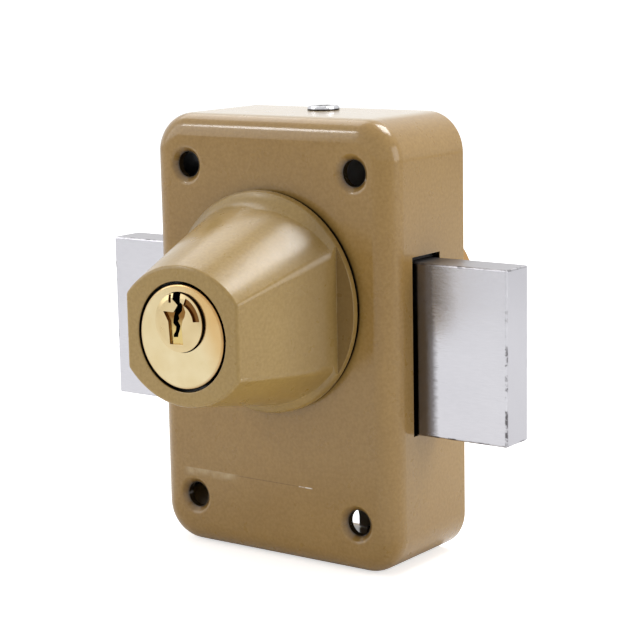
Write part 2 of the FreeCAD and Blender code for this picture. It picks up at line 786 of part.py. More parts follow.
def knob():
    channel = slider_width / 2 + sliding
    channel_end = spindle_z + slider_outer_end + slider_travel + apart
    tools = [
        rod_along_y(cylinder_r + seat, face_y - 1, bridge_front_y, 0, 0),
        rod_along_y(cylinder_r + knob_mouth_gap, face_y - 1, face_y + knob_mouth_depth, 0, 0),
        rod_along_y(tail_r + loose, bridge_front_y - 1, bridge_back_y + 1, 0, spindle_z),
        rod_along_y(cam_r + loose, bridge_back_y, knob_seat_y + loose, 0, spindle_z),
        box(-channel, channel, slider_front_y - sliding, knob_seat_y + loose, spindle_z, channel_end),
        rod_along_y(ring_r + apart, knob_seat_y, knob_back_y + 1, 0, spindle_z),
    ]
    tools += [rod_along_y(spindle_screw_r + seat, knob_seat_y - spindle_screw_length - loose,
                          knob_seat_y + 1, x, z) for x, z in spindle_screw_places()]
    for x, z in cylinder_screw_places():
        tools.append(rod_along_y(inner_screw_r + sliding, bridge_front_y - 1, bridge_back_y + 1, x, z))
        tools.append(rod_along_y(inner_screw_head_r + 2 * sliding, bridge_back_y, knob_seat_y + 1, x, z))
    body = cut_by(knob_blank(), tools)
    mouth = [edge for edge in edges_at_y(body, face_y) if edge.BoundBox.XMax < cylinder_r + 1]
    return body.makeFillet(knob_mouth_edge_r, mouth)


def inwards(outside_y, inward, depth0, depth1):
    # Low and high Y of a stretch that is given as depths from a cylinder's outer face
    ends = [outside_y + inward * depth0, outside_y + inward * depth1]
    return min(ends), max(ends)


def pin_places(outside_y, inward):
    return [outside_y + inward * (first_pin + pin_pitch * index) for index in range(pin_count)]


def chamber_span():
    margin = pin_r + chamber_cover_margin
    return first_pin - margin, first_pin + pin_pitch * (pin_count - 1) + margin


def cover_block(outside_y, inward, gap):
    start, end = chamber_span()
    y0, y1 = inwards(outside_y, inward, start - gap, end + gap)
    half = chamber_cover_width / 2 + gap
    return box(-half, half, y0, y1, -cylinder_r - 1, chamber_floor_z + gap)


def chamber_cover(outside_y, inward):
    block = cover_block(outside_y, inward, -seat)
    return block.common(rod_along_y(cylinder_r, block.BoundBox.YMin - 1, block.BoundBox.YMax + 1))


def pins(outside_y, inward, radius, bottom, top):
    return [rod_along_z(radius, bottom, top, 0, y) for y in pin_places(outside_y, inward)]


def driver_pins(outside_y, inward):
    return Part.makeCompound(pins(outside_y, inward, pin_r, spindle_z - spring_top, spindle_z - driver_top))


def key_pin_bottom():
    # The flat foot of a pin stays inside the round plug
    return spindle_z - math.sqrt(plug_barrel_r ** 2 - pin_r ** 2) + seat


def key_pins(outside_y, inward):
    bottom = key_pin_bottom()
    shoulder = bottom + key_pin_length
    shaped = []
    for y in pin_places(outside_y, inward):
        straight = rod_along_z(pin_r, bottom, shoulder, 0, y)
        tip = Part.makeCone(pin_r, pin_r * 0.4, key_pin_tip, point(0, y, shoulder), Z_AXIS)
        shaped.append(joined([straight, tip]))
    return Part.makeCompound(shaped)


def pin_springs(outside_y, inward):
    bottom = chamber_floor_z + seat
    top = spindle_z - spring_top - seat
    outer = pins(outside_y, inward, pin_spring_r, bottom, top)
    inner = pins(outside_y, inward, pin_spring_r - pin_spring_wall, bottom, top)
    return Part.makeCompound([sleeve.cut(bore) for sleeve, bore in zip(outer, inner)])


def cylinder_body(y0, y1, outside_y, inward):
    body = rod_along_y(cylinder_r, y0, y1)
    body = body.makeFillet(loose, edges_at_y(body, outside_y))
    head_y0, head_y1 = inwards(outside_y, inward, -1, plug_head_length + sliding)
    tools = [
        rod_along_y(plug_bore_r, y0 - 1, y1 + 1, 0, spindle_z),
        rod_along_y(plug_head_r + head_gap, head_y0, head_y1, 0, spindle_z),
    ]
    tools += pins(outside_y, inward, chamber_r, -cylinder_r - 1, spindle_z - plug_barrel_r + 1)
    return cut_by(body, tools + [cover_block(outside_y, inward, 0)])


def inner_cylinder():
    body = cylinder_body(face_y, bridge_front_y, face_y, 1)
    return cut_by(body, [rod_along_y(inner_screw_r + seat, bridge_front_y - inner_screw_length - 1,
                                     bridge_front_y + 1, x, z) for x, z in cylinder_screw_places()])


def inner_cylinder_screws():
    screws = []
    head_end_y = bridge_back_y + inner_screw_head_height
    for x, z in cylinder_screw_places():
        tip_y = bridge_front_y - inner_screw_length
        shank = rod_along_y(inner_screw_r, tip_y, bridge_back_y + sliding, x, z)
        head = rod_along_y(inner_screw_head_r, bridge_back_y, head_end_y, x, z)
        slot = box(x - 3, x + 3, bridge_back_y + inner_screw_head_height * 0.6, head_end_y + 1,
                   z - driver_slot_half, z + driver_slot_half)
        screws.append(joined([shank, head]).cut(slot))
    return Part.makeCompound(screws)


def on_plug(outline, inward):
    # Outlines on the plug's face are in parts of its radius. The outer cylinder is looked at from
    # the other side, so its outlines are turned over.
    return [(inward * x * plug_barrel_r, spindle_z + z * plug_barrel_r) for x, z in outline]


def keyway_outline():
    # Warded slot, in from the top of the plug
    return [(-0.19, 1.2), (-0.2, 0.8), (0.02, 0.62), (-0.11, 0.44), (-0.18, 0.34), (-0.24, 0.18),
            (-0.27, -0.04), (-0.14, -0.16), (-0.17, -0.31), (-0.27, -0.45), (-0.27, -0.53), (-0.07, -0.51),
            (-0.05, -0.4), (0.03, -0.22), (0.05, -0.1), (-0.05, 0.05), (0.01, 0.14), (-0.02, 0.26),
            (0.14, 0.42), (0.16, 0.57), (0.13, 0.76), (0.14, 1.2)]


def guide_recess_outline():
    # Shallow wedge beside the keyway that leads the key in
    return [(-0.63, 0.36), (-0.42, 0.01), (-0.37, -0.77), (0.22, -0.74), (0.16, -0.14), (0.22, 0.09),
            (0.32, 0.25), (0.36, 0.41), (0.26, 0.66), (0.1, 0.75), (-0.1, 0.36)]


def side_groove_outline():
    return [(-0.39, 0.95), (-0.38, 0.67), (-0.28, 0.68), (-0.27, 0.97)]


def face_cut(outside_y, inward):
    # A ramp cut round part of the plug's face, deepest at its inner side
    face = outside_y - inward * plug_head_proud
    open_y = face - inward
    corners = [
        point(face_cut_inner_r, open_y, 0),
        point(face_cut_inner_r, face + inward * face_cut_depth, 0),
        point(face_cut_outer_r, face + inward * rim_slope_drop * 0.8, 0),
        point(face_cut_outer_r, open_y, 0),
    ]
    section = Part.Face(Part.makePolygon(corners + [corners[0]]))
    section.rotate(point(0, 0, 0), Y_AXIS, -face_cut_start)
    ramp = section.revolve(point(0, 0, 0), Y_AXIS, face_cut_start - face_cut_end)
    if inward < 0:
        ramp = ramp.mirror(point(0, 0, 0), X_AXIS)
    ramp.translate(point(0, 0, spindle_z))
    return ramp


def keyway_tools(outside_y, inward):
    start = -plug_head_proud - 1
    deep = inwards(outside_y, inward, start, keyway_depth)
    shallow = inwards(outside_y, inward, start, guide_recess_depth - plug_head_proud)
    fine = inwards(outside_y, inward, start, side_groove_depth - plug_head_proud)
    return [
        prism_along_y(on_plug(keyway_outline(), inward), deep[0], deep[1]),
        prism_along_y(on_plug(guide_recess_outline(), inward), shallow[0], shallow[1]),
        prism_along_y(on_plug(side_groove_outline(), inward), fine[0], fine[1]),
        face_cut(outside_y, inward),
    ]


def plug_barrel(outside_y, inward, end_y):
    head = inwards(outside_y, inward, rim_slope_drop - plug_head_proud, plug_head_length)
    front = point(0, outside_y - inward * plug_head_proud, spindle_z)
    slope = Part.makeCone(plug_head_r - rim_slope_width, plug_head_r, rim_slope_drop, front,
                          point(0, inward, 0))
    body = joined([
        slope,
        rod_along_y(plug_head_r, head[0], head[1], 0, spindle_z),
        rod_along_y(plug_barrel_r, min(outside_y, end_y), max(outside_y, end_y), 0, spindle_z),
    ])
    top = key_pin_bottom() + key_pin_length + key_pin_tip + key_pin_lift + sliding
    holes = pins(outside_y, inward, chamber_r, -cylinder_r, top)
    return cut_by(body, keyway_tools(outside_y, inward) + holes)


def inner_plug():
    barrel = plug_barrel(face_y, 1, bridge_front_y - 2 * sliding)
    tail = rod_along_y(tail_r, bridge_front_y - apart, cam_back_y, 0, spindle_z)
    flat = box(tail_flat, tail_r + 1, cam_front_y, cam_back_y + 1, spindle_z - tail_r - 1,
               spindle_z + tail_r + 1)
    hole = rod_along_y(cam_screw_r + seat, cam_back_y - cam_screw_length - apart, cam_back_y + 1,
                       0, spindle_z)
    return cut_by(joined([barrel, tail]), [flat, hole])


def spiral_slot():
    # The slot's middle line climbs steadily, so that the slider moves in step with the key
    half = slider_pin_r + 3 * running
    steps = 8
    inner_side = []
    outer_side = []
    for step in range(steps + 1):
        turn = -math.pi / 2 * step / steps
        radius = cam_start_r + slider_travel * step / steps
        for side, offset in ((inner_side, -half), (outer_side, half)):
            side.append(point((radius + offset) * math.sin(turn), cam_front_y - 1,
                              spindle_z + (radius + offset) * math.cos(turn)))
    inner_curve = Part.BSplineCurve()
    inner_curve.interpolate(inner_side)
    outer_curve = Part.BSplineCurve()
    outer_curve.interpolate(outer_side)
    outline = Part.Wire([
        inner_curve.toShape(),
        Part.makeLine(inner_side[-1], outer_side[-1]),
        outer_curve.toShape(),
        Part.makeLine(outer_side[0], inner_side[0]),
    ])
    slot = Part.Face(outline).extrude(point(0, cam_thickness + 2, 0))
    start = rod_along_y(half, cam_front_y - 1, cam_back_y + 1, 0, spindle_z + cam_start_r)
    end = rod_along_y(half, cam_front_y - 1, cam_back_y + 1, -cam_start_r - slider_travel, spindle_z)
    return [slot, start, end]


def lock_cam():
    disc = rod_along_y(cam_r, cam_front_y, cam_back_y, 0, spindle_z)
    hole = rod_along_y(tail_r + seat, cam_front_y - 1, cam_back_y + 1, 0, spindle_z)
    hole = hole.cut(box(tail_flat + seat, tail_r + 1, cam_front_y - 2, cam_back_y + 2,
                        spindle_z - tail_r - 1, spindle_z + tail_r + 1))
    relief = rod_along_y(cam_r, cam_front_y - 1, cam_back_y + 1, cam_r * 0.8, spindle_z - cam_r * 1.15)
    return cut_by(disc, [hole, relief] + spiral_slot())


def cam_screw():
    shank = rod_along_y(cam_screw_r, cam_back_y - cam_screw_length, cam_back_y + sliding, 0, spindle_z)
    head_end_y = cam_back_y + cam_screw_head_height
    head = rod_along_y(cam_screw_head_r, cam_back_y, head_end_y, 0, spindle_z)
    slot = box(-cam_screw_head_r - 1, cam_screw_head_r + 1, cam_back_y + cam_screw_head_height / 2,
               head_end_y + 1, spindle_z - driver_slot_half, spindle_z + driver_slot_half)
    return joined([shank, head]).cut(slot)


def lock_slider():
    half = slider_width / 2
    body = box(-half, half, slider_front_y, slider_back_y,
               spindle_z + slider_inner_end, spindle_z + slider_outer_end)
    nose = box(-half, half, slider_back_y - sliding, front_y - loose,
               spindle_z + slider_outer_end - slider_nose_length, spindle_z + slider_outer_end)
    pin = rod_along_y(slider_pin_r, cam_front_y + 2 * sliding, slider_front_y + sliding, 0,
                      spindle_z + cam_start_r)
    return joined([body, nose, pin])


def outer_cylinder():
    # The end that sits in the back plate is turned down a little, so the full width starts at the door
    body = cylinder_body(-cylinder_seat_depth, outer_cylinder_length, outer_cylinder_length, -1)
    tools = [
        tube_along_y(cylinder_r + 1, cylinder_r - cylinder_seat_step, -cylinder_seat_depth - 1, 0),
        rod_along_y(clip_r + apart, -1, clip_floor_depth, 0, spindle_z),
    ]
    tools += [rod_along_y(outer_screw_r + seat, -1, outer_screw_length + 1, x, z)
              for x, z in cylinder_screw_places()]
    return cut_by(body, tools)


def cylinder_screws():
    screws = []
    head_y = plate_front_y - outer_screw_head_height
    for x, z in cylinder_screw_places():
        shank = rod_along_y(outer_screw_r, plate_front_y - sliding, outer_screw_length, x, z)
        head = rod_along_y(outer_screw_head_r, head_y, plate_front_y, x, z)
        slot = box(x - 4, x + 4, head_y - 1, head_y + outer_screw_head_height * 0.45,
                   z - driver_slot_half, z + driver_slot_half)
        screws.append(joined([shank, head]).cut(slot))
    return Part.makeCompound(screws)


def fork_prongs(gap, y0, y1):
    half = tail_bar_thickness / 2 + gap
    inside = rod_r + 4 * sliding - gap
    outside = tail_bar_width / 2 + gap
    return [
        box(-half, half, y0, y1, spindle_z + inside, spindle_z + outside),
        box(-half, half, y0, y1, spindle_z - outside, spindle_z - inside),
    ]


def outer_plug():
    barrel = plug_barrel(outer_cylinder_length, -1, clip_floor_depth + sliding)
    neck = rod_along_y(neck_r, neck_end_y, clip_floor_depth + 2 * sliding, 0, spindle_z)
    clip_back_y = clip_floor_depth - 3 * running
    groove = tube_along_y(neck_r + 2, neck_r - clip_grip, clip_back_y - circlip_thickness - running,
                          clip_back_y + running, 0, spindle_z)
    rod_bore = rod_along_y(rod_r + sliding, -1, outer_cylinder_length - keyway_depth + loose, 0, spindle_z)
    spring_bore = rod_along_y(collar_r + 2 * sliding, -1, collar_y + collar_length + 1, 0, spindle_z)
    fork_seat = box(-tail_bar_thickness / 2 - seat, tail_bar_thickness / 2 + seat, -1, fork_end_y + sliding,
                    spindle_z - tail_bar_width / 2 - seat, spindle_z + tail_bar_width / 2 + seat)
    return cut_by(joined([barrel, neck]), [groove, rod_bore, spring_bore, fork_seat])


def outer_plug_clip():
    back_y = clip_floor_depth - 3 * running
    front = back_y - circlip_thickness
    clip = tube_along_y(clip_r, neck_r - clip_grip + running, front, back_y, 0, spindle_z)
    gap = neck_r / 2
    return clip.cut(box(-gap, gap, front - 1, back_y + 1, spindle_z - 2 * neck_r, spindle_z))


def tail_fork():
    bridge = box(-tail_bar_thickness / 2, tail_bar_thickness / 2, fork_bridge_y, fork_end_y,
                 spindle_z - tail_bar_width / 2, spindle_z + tail_bar_width / 2)
    bridge = bridge.cut(rod_along_y(rod_r + sliding, fork_bridge_y - 1, fork_end_y + 1, 0, spindle_z))
    return joined([bridge] + fork_prongs(0, dog_body_y + 4 * sliding, fork_bridge_y + sliding))


def clutch_dog():
    end_y = dog_body_y + dog_length
    half = dog_tongue_thickness / 2
    body = rod_along_y(dog_r, dog_body_y, end_y, 0, spindle_z)
    tongue = box(-half, half, dog_front_y, dog_body_y + sliding, spindle_z - dog_r, spindle_z + dog_r)
    tongue = tongue.common(rod_along_y(dog_r, dog_front_y - 1, dog_body_y + 1, 0, spindle_z))
    rod_hole = rod_along_y(rod_r + seat, dog_body_y + sliding, end_y + 1, 0, spindle_z)
    return cut_by(joined([body, tongue]), fork_prongs(running, dog_body_y, end_y + 1) + [rod_hole])


def clutch_rod():
    rod = rod_along_y(rod_r, dog_body_y + sliding, outer_cylinder_length - keyway_depth - 2 * sliding,
                      0, spindle_z)
    collar = rod_along_y(collar_r, collar_y, collar_y + collar_length, 0, spindle_z)
    return joined([rod, collar])


def clutch_spring():
    bore = rod_r + 5 * running
    return tube_along_y(bore + rod_spring_wall, bore, fork_end_y + sliding, collar_y - running,
                        0, spindle_z)


save(case(), "case")
save(back_plate(), "back_plate")
save(case_screw(), "case_screw")
save(knob_bush(), "knob_bush")
save(lock_ring(), "lock_ring")
save(bolt_guide(-1), "bolt_guide_left")
save(bolt_guide(1), "bolt_guide_right")
save(detent_post(), "detent_post")
save(detent_spring(), "detent_spring")
save(detent_screw(), "detent_screw")
save(bolt(), "bolt")
save(drive_spindle(), "drive_spindle")
save(spindle_screws(), "spindle_screws")
save(bush_circlip(), "bush_circlip")
save(knob(), "knob")
save(inner_cylinder(), "inner_cylinder")
save(inner_cylinder_screws(), "inner_cylinder_screws")
save(inner_plug(), "inner_plug")
save(lock_cam(), "lock_cam")
save(cam_screw(), "cam_screw")
save(lock_slider(), "lock_slider")
save(outer_cylinder(), "outer_cylinder")
save(cylinder_screws(), "cylinder_screws")
save(outer_plug(), "outer_plug")
save(outer_plug_clip(), "outer_plug_clip")
save(tail_fork(), "tail_fork")
save(clutch_dog(), "clutch_dog")
save(clutch_rod(), "clutch_rod")
save(clutch_spring(), "clutch_spring")
for side_name, outside, way in (("inner", face_y, 1), ("outer", outer_cylinder_length, -1)):
    save(key_pins(outside, way), side_name + "_key_pins")
    save(driver_pins(outside, way), side_name + "_driver_pins")
    save(pin_springs(outside, way), side_name + "_pin_springs")
    save(chamber_cover(outside, way), side_name + "_chamber_cover")
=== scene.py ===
import json
import math

import bpy
from mathutils import Matrix, Vector


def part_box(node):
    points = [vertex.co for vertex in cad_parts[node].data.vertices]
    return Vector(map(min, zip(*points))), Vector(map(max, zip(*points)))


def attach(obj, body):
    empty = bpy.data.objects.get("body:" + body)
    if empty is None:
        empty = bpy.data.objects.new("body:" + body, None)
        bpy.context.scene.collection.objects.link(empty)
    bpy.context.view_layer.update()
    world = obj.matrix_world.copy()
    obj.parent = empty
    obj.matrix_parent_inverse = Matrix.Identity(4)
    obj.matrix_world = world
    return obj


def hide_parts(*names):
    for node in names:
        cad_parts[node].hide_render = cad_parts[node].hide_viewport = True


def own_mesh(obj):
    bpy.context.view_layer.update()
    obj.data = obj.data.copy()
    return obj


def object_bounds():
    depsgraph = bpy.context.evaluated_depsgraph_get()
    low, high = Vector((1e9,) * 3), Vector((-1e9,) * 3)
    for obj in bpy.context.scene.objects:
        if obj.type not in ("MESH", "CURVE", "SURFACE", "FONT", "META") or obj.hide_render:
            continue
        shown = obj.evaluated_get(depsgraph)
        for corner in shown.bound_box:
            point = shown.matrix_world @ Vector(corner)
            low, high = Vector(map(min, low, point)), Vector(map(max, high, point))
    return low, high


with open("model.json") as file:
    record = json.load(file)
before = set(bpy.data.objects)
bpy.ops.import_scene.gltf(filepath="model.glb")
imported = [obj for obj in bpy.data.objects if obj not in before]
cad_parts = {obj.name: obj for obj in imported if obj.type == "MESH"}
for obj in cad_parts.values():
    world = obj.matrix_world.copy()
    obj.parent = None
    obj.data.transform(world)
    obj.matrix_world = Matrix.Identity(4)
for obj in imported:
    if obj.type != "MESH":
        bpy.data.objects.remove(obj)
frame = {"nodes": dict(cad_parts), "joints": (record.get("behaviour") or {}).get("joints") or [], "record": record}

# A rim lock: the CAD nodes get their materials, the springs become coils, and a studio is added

cad_low, cad_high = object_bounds()
scene = bpy.context.scene
record = frame["record"]

MM = 0.001
MM_DECIMALS = 4

# Camera, as fitted to the photograph: angles in degrees, lengths in millimetres
FOCAL_PX = 1969.6
IMAGE_PX = 640
SENSOR_MM = 36.0
YAW_DEG = 36.08
PITCH_DEG = 10.25
ROLL_DEG = -1.063
DISTANCE_MM = 475.84
TARGET_MM = (-7.224, 0.0, -6.438)
CLIP_START = 0.01


def row_named(rows, name):
    return next(row for row in rows if row["name"] == name)


def low_mm(node, axis):
    """Where a CAD node starts along one axis, in millimetres."""
    return round(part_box(node)[0]["XYZ".index(axis)] / MM, MM_DECIMALS)


def high_mm(node, axis):
    """Where a CAD node ends along one axis, in millimetres."""
    return round(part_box(node)[1]["XYZ".index(axis)] / MM, MM_DECIMALS)


def middle_mm(node, axis):
    return (low_mm(node, axis) + high_mm(node, axis)) / 2


# Places that the materials follow, in millimetres, as the CAD model has them
fixing_holes = row_named(record["mounts"], "fixing_holes")
SPINDLE_Z = row_named(frame["joints"], "knob_turn")["pos_m"][2] / MM
CASE_FRONT_Y = low_mm("case", "Y")
CASE_HALF_X = high_mm("case", "X")
CASE_TOP_Z = high_mm("case", "Z")
BOLT_FRONT_Y = low_mm("bolt", "Y")
BOLT_TOP_Z = high_mm("bolt", "Z")
KNOB_FACE_Y = low_mm("knob", "Y")
KNOB_BACK_Y = high_mm("knob", "Y")
FLANGE_R = high_mm("knob", "Z") - SPINDLE_Z
FLANGE_THICKNESS = 1.75
FLANGE_FRONT_Y = KNOB_BACK_Y - FLANGE_THICKNESS
CYLINDER_R = high_mm("outer_cylinder", "Z")
CYLINDER_END_Y = high_mm("outer_cylinder", "Y")
INNER_PLUG_FACE_Y = low_mm("inner_plug", "Y")
OUTER_PLUG_FACE_Y = high_mm("outer_plug", "Y")
PLUG_R = 6.45
PLUG_RIM_R = 5.5
RECESS_DEPTH = 0.5
SCREW_Y = middle_mm("case_screw", "Y")
SCREW_TOP_Z = high_mm("case_screw", "Z")
CROSS_RECESS_R = 2.2
HOLE_X = fixing_holes["dims"]["spacing_x_mm"] / 2
HOLE_Z = fixing_holes["dims"]["spacing_y_mm"] / 2
HOLE_MIDDLE_Z = fixing_holes["pos_m"][2] / MM
HOLE_R = fixing_holes["dims"]["hole_r_mm"]


def srgb(red, green, blue):
    """Linear colour of an 8-bit screen colour."""
    linear = []
    for level in (red, green, blue):
        share = level / 255.0
        linear.append(share / 12.92 if share <= 0.04045 else ((share + 0.055) / 1.055) ** 2.4)
    return (*linear, 1.0)


# Colours

SHADOW = (0.004, 0.003, 0.002, 1.0)
WHITE = (1.0, 1.0, 1.0, 1.0)
FLOOR_COLOUR = (0.93, 0.93, 0.93, 1.0)
CASE_LIGHT = srgb(167, 133, 74)
CASE_DARK = srgb(149, 115, 58)
KNOB_LIGHT = srgb(172, 142, 81)
KNOB_DARK = srgb(154, 124, 64)
WORN_AND_LIT_EDGE = srgb(226, 208, 176)
TOP_FACE_LIGHT = srgb(216, 204, 178)
SCRATCH_DARK = srgb(92, 66, 34)
SCRATCH_BARE = srgb(240, 234, 224)
RUBBED = srgb(212, 194, 158)
DISH_SHADE = srgb(66, 42, 18)
BORE_SHADE = srgb(24, 20, 16)
LEDGE_SHADE = srgb(92, 62, 30)
FLAT_SHADE = srgb(104, 80, 42)
STEEL_LIGHT = srgb(219, 218, 223)
STEEL_DARK = srgb(203, 202, 208)
STEEL_TOP = srgb(96, 92, 90)
END_FACE_SHADE = srgb(120, 118, 124)
CASE_REFLECTION = srgb(56, 44, 31)
CHIP_DARK = srgb(62, 58, 58)
CHIP_BRIGHT = srgb(244, 244, 247)
BODY_BRASS_LIGHT = srgb(232, 216, 176)
BODY_BRASS_DARK = srgb(221, 201, 154)
BRASS_REFLECTION_TONE = srgb(214, 168, 98)
BRASS_RIM = srgb(160, 108, 50)
PLUG_BRASS_LIGHT = srgb(226, 206, 162)
PLUG_BRASS_DARK = srgb(213, 190, 142)
RECESS_WALL_SHADE = srgb(116, 78, 36)
RECESS_FLOOR = srgb(222, 196, 128)
RECESS_SHADE = srgb(140, 100, 52)
PIN_BRASS_LIGHT = srgb(214, 184, 120)
PIN_BRASS_DARK = srgb(200, 168, 104)
CHROME_LIGHT = srgb(232, 232, 235)
CHROME_DARK = srgb(176, 176, 180)
SCREW_SHADE = srgb(30, 26, 22)
NYLON_DARK = srgb(16, 15, 15)
NYLON_LIGHT = srgb(34, 32, 30)


# Materials


class Nodes:
    """Adds nodes to one node tree and links them."""

    def __init__(self, tree):
        self.tree = tree

    def connect(self, node, values):
        """Sets or links a node's inputs, given by name or number."""
        for key, value in values.items():
            if isinstance(value, bpy.types.NodeSocket):
                self.tree.links.new(value, node.inputs[key])
            else:
                node.inputs[key].default_value = value
        return node

    def add(self, kind, values=None, **settings):
        node = self.tree.nodes.new(kind)
        for key, value in settings.items():
            setattr(node, key, value)
        return self.connect(node, values or {})

    def maths(self, operation, first, second=0.0):
        return self.add("ShaderNodeMath", {0: first, 1: second}, operation=operation).outputs[0]

    def product(self, first, *others):
        for other in others:
            first = self.maths("MULTIPLY", first, other)
        return first

    def highest(self, first, *others):
        for other in others:
            first = self.maths("MAXIMUM", first, other)
        return first


class Shader(Nodes):
    """One material; its places are millimetres in the row frame, and move with the piece."""

    def __init__(self, name):
        self.material = bpy.data.materials.new(name)
        self.material.use_nodes = True
        super().__init__(self.material.node_tree)
        self.surface = self.tree.nodes["Principled BSDF"]
        self.place = self.add("ShaderNodeTexCoord").outputs["Object"]

    def give(self, **values):
        """Sets or links the surface's own inputs."""
        self.connect(self.surface, {name.replace("_", " "): value for name, value in values.items()})

    def mm(self, axis):
        """One coordinate of the surface point."""
        split = self.add("ShaderNodeSeparateXYZ", {"Vector": self.place})
        return self.product(split.outputs[axis], 1.0 / MM)

    def distance(self, value, middle):
        return self.maths("ABSOLUTE", self.maths("SUBTRACT", value, middle))

    def length(self, first, second):
        squares = self.maths("ADD", self.product(first, first), self.product(second, second))
        return self.maths("SQRT", squares)

    def radius(self, centre_z):
        """Distance from an axis that runs along Y at x = 0."""
        return self.length(self.mm("X"), self.maths("SUBTRACT", self.mm("Z"), centre_z))

    def facing(self, axis):
        """How far the surface faces along one axis, 0 to 1, whichever way."""
        normal = self.add("ShaderNodeNewGeometry").outputs["Normal"]
        split = self.add("ShaderNodeSeparateXYZ", {"Vector": normal})
        return self.maths("ABSOLUTE", split.outputs[axis])

    def ramp(self, value, low, high, start=0.3, end=0.7):
        """From low at start to high at end; the middle of a noise lies between 0.3 and 0.7."""
        levels = {"Value": value, "From Min": start, "From Max": end, "To Min": low, "To Max": high}
        return self.add("ShaderNodeMapRange", levels).outputs["Result"]

    def rise(self, value, start, end):
        return self.ramp(value, 0.0, 1.0, start, end)

    def fall(self, value, start, end):
        return self.ramp(value, 1.0, 0.0, start, end)

    def between(self, value, rising, falling):
        return self.product(self.rise(value, *rising), self.fall(value, *falling))

    def noise(self, scale, detail, roughness=0.5, stretch=None):
        place = self.place
        if stretch:
            place = self.add("ShaderNodeMapping", {"Vector": place, "Scale": stretch}).outputs["Vector"]
        values = {"Vector": place, "Scale": scale, "Detail": detail, "Roughness": roughness}
        return self.add("ShaderNodeTexNoise", values).outputs["Fac"]

    def mix(self, factor, first, second):
        values = {0: factor, 6: first, 7: second}
        return self.add("ShaderNodeMix", values, data_type="RGBA").outputs[2]

    def over(self, body, mask, colour, share=1.0):
        """Lays a colour over the body's where the mask is 1; share is how thickly it covers."""
        return self.mix(mask if share == 1.0 else self.product(mask, share), body, colour)

    def bump(self, height, strength, distance, under=None):
        """Bump over another bump, if one is given; distance is in metres."""
        values = {"Height": height, "Strength": strength, "Distance": distance}
        if under is not None:
            values["Normal"] = under
        return self.add("ShaderNodeBump", values).outputs["Normal"]

    def edges(self, radius):
        """1 on sharp outer edges, 0 on flat ground; radius is in metres."""
        rounded = self.add("ShaderNodeBevel", {"Radius": radius}, samples=4).outputs["Normal"]
        true = self.add("ShaderNodeNewGeometry").outputs["Normal"]
        level = self.add("ShaderNodeVectorMath", {0: rounded, 1: true}, operation="DOT_PRODUCT")
        return self.fall(level.outputs["Value"], 0.75, 0.97)


def enamel(s, light, dark, gloss):
    """Semi-gloss enamel: slow shifts of tone, a fine grain, a soft orange peel and edges lightened, partly as wear
    and partly as painted highlight.
    """
    peel = s.bump(s.noise(scale=600.0, detail=1.0), strength=0.05, distance=0.0003)
    fine = s.bump(s.noise(scale=1150.0, detail=1.0), strength=0.13, distance=0.0001, under=peel)
    s.connect(s.surface, gloss)
    s.give(Roughness=s.ramp(s.noise(scale=260.0, detail=4.0), 0.26, 0.35), Normal=fine)
    slow = s.ramp(s.noise(scale=38.0, detail=2.0), 0.0, 0.4)
    grain = s.ramp(s.noise(scale=1400.0, detail=1.0), 0.1, 0.7)
    toned = s.mix(s.maths("ADD", slow, grain), light, dark)
    # Lightened edges: partly wear, partly painted highlight
    worn_and_lit = s.product(s.edges(radius=0.0004), s.ramp(s.noise(scale=420.0, detail=4.0), 0.0, 0.5))
    return s.over(toned, worn_and_lit, WORN_AND_LIT_EDGE)


CASE_GLOSS = {"Coat Weight": 0.75, "Coat Roughness": 0.12, "Specular IOR Level": 0.25}

# A fine scratch runs low across the case's front: each pair is where it fades in or out
SCRATCH_Z = -39.1
SCRATCH_HALF_WIDTH = (0.05, 0.16)
SCRATCH_LEFT = (-12.0, -9.0)
SCRATCH_RIGHT = (6.5, 7.5)
DASH_LEFT = (7.3, 7.8)
DASH_RIGHT = (10.8, 11.4)
RUBBED_LEFT = (-27.0, -24.0)
RUBBED_RIGHT = (-13.0, -9.5)
RUBBED_BELOW = (-1.9, -0.7)
RUBBED_ABOVE = (0.1, 0.35)


def scratched(s, body, x, z, front):
    """A dark fine line with a bare dash at its right end and a rubbed patch at its left."""
    above = s.maths("SUBTRACT", z, SCRATCH_Z)
    thin = s.product(s.fall(s.maths("ABSOLUTE", above), *SCRATCH_HALF_WIDTH), front)
    line = s.product(thin, s.between(x, SCRATCH_LEFT, SCRATCH_RIGHT))
    broken = s.ramp(s.noise(scale=900.0, detail=3.0), 0.3, 1.0, 0.4, 0.5)
    dash = s.product(thin, s.between(x, DASH_LEFT, DASH_RIGHT), broken)
    patch = s.product(s.between(x, RUBBED_LEFT, RUBBED_RIGHT), s.between(above, RUBBED_BELOW, RUBBED_ABOVE))
    rubbed = s.product(patch, front, s.ramp(s.noise(scale=500.0, detail=4.0), 0.05, 0.5))
    body = s.over(body, line, SCRATCH_DARK, share=0.45)
    body = s.over(body, dash, SCRATCH_BARE)
    return s.over(body, rubbed, RUBBED)


